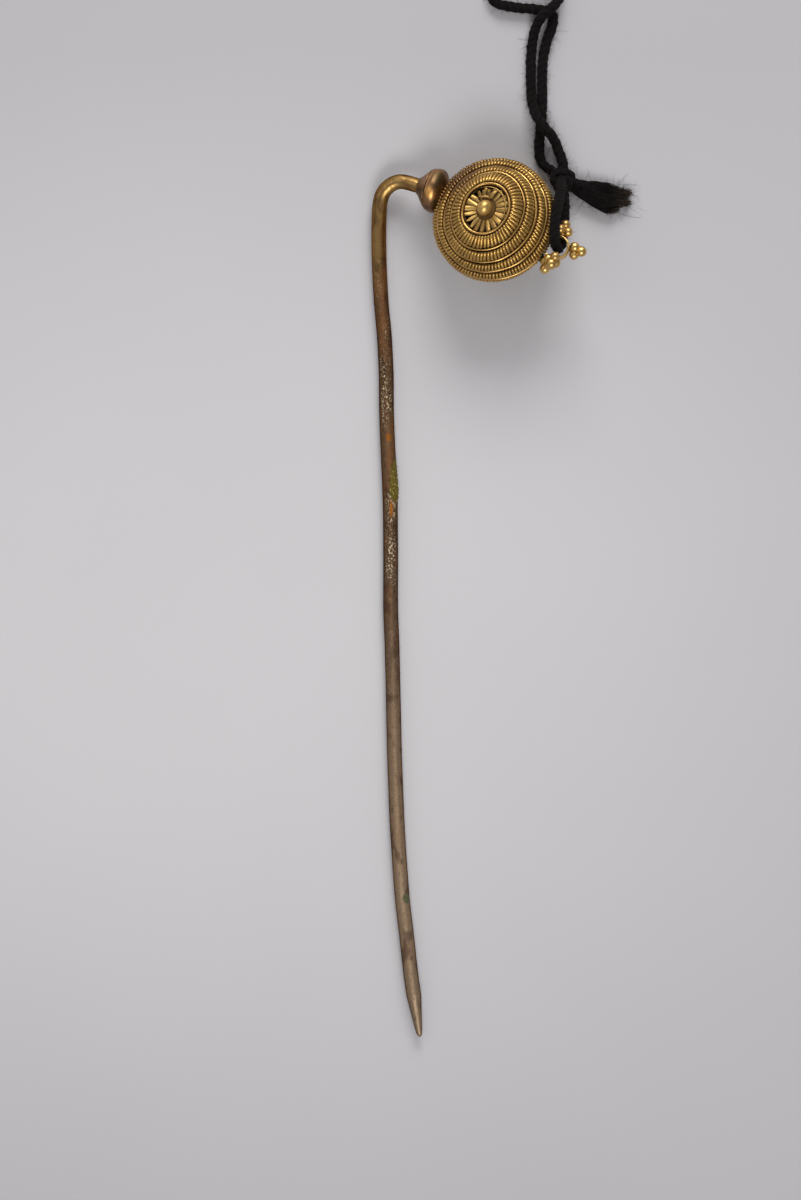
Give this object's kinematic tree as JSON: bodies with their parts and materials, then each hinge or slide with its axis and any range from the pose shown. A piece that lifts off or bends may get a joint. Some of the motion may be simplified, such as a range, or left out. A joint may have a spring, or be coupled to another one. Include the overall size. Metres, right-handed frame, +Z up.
{
  "type": "hat pin",
  "caption": "Long bent pin with a wire-built round disc head, a turned collar, a small loop set with granules and a knotted black tie cord",
  "frame": {"origin": "on the table, under the middle of the metal pin's box, without the cord", "axes": "+Z up off the table, +Y from the point towards the head, +X to the side that the cord loop is on"},
  "size_m": [0.0399, 0.1661, 0.0169],
  "materials": {
    "gilt_wire": "worn gilding, bright on the crests of the round wires and brown in between",
    "gilt_coil": "tightly coiled fine wire, gilding worn on top and dark between the turns",
    "gilt_sheet": "thin gilded sheet and a smooth polished ball",
    "dark_sheet": "dark brown tarnished backing sheet",
    "collar_metal": "smooth turned metal, coppery where the gilding has gone",
    "shaft_metal": "smooth drawn rod, gilded near the bend, brown and purple patina along the middle, pale brass near the point",
    "loop_strip": "flat gilded strip",
    "granules": "smooth bright gilded balls",
    "cord": "soft twisted black cotton with loose fibres"
  },
  "bodies": {
    "root": {"front_wire_1": "gilt_wire", "front_wire_2": "gilt_wire", "front_wire_3": "gilt_wire", "front_wire_4": "gilt_wire", "back_wire_1": "gilt_wire", "back_wire_2": "gilt_wire", "back_wire_3": "gilt_wire", "back_wire_4": "gilt_wire", "girdle_wire": "gilt_wire", "front_coil_a": "gilt_coil", "front_coil_b": "gilt_coil", "front_coil_c": "gilt_coil", "front_coil_d": "gilt_coil", "back_coil_a": "gilt_coil", "back_coil_b": "gilt_coil", "back_coil_c": "gilt_coil", "back_coil_d": "gilt_coil", "crown_petals": "gilt_sheet", "finial_base": "gilt_sheet", "finial_ball": "gilt_sheet", "front_dome": "dark_sheet", "back_dome": "dark_sheet", "back_plate": "dark_sheet", "collar_bead": "collar_metal", "collar_cone": "collar_metal", "collar_neck": "collar_metal", "pin_shaft": "shaft_metal", "cord_loop": "loop_strip", "granules_1": "granules", "granules_2": "granules", "granules_3": "granules", "granules_4": "granules", "cord_lower_loop": "cord", "cord_upper_loop": "cord", "cord_knot": "cord", "cord_tail": "cord"}
  },
  "joints": []
}
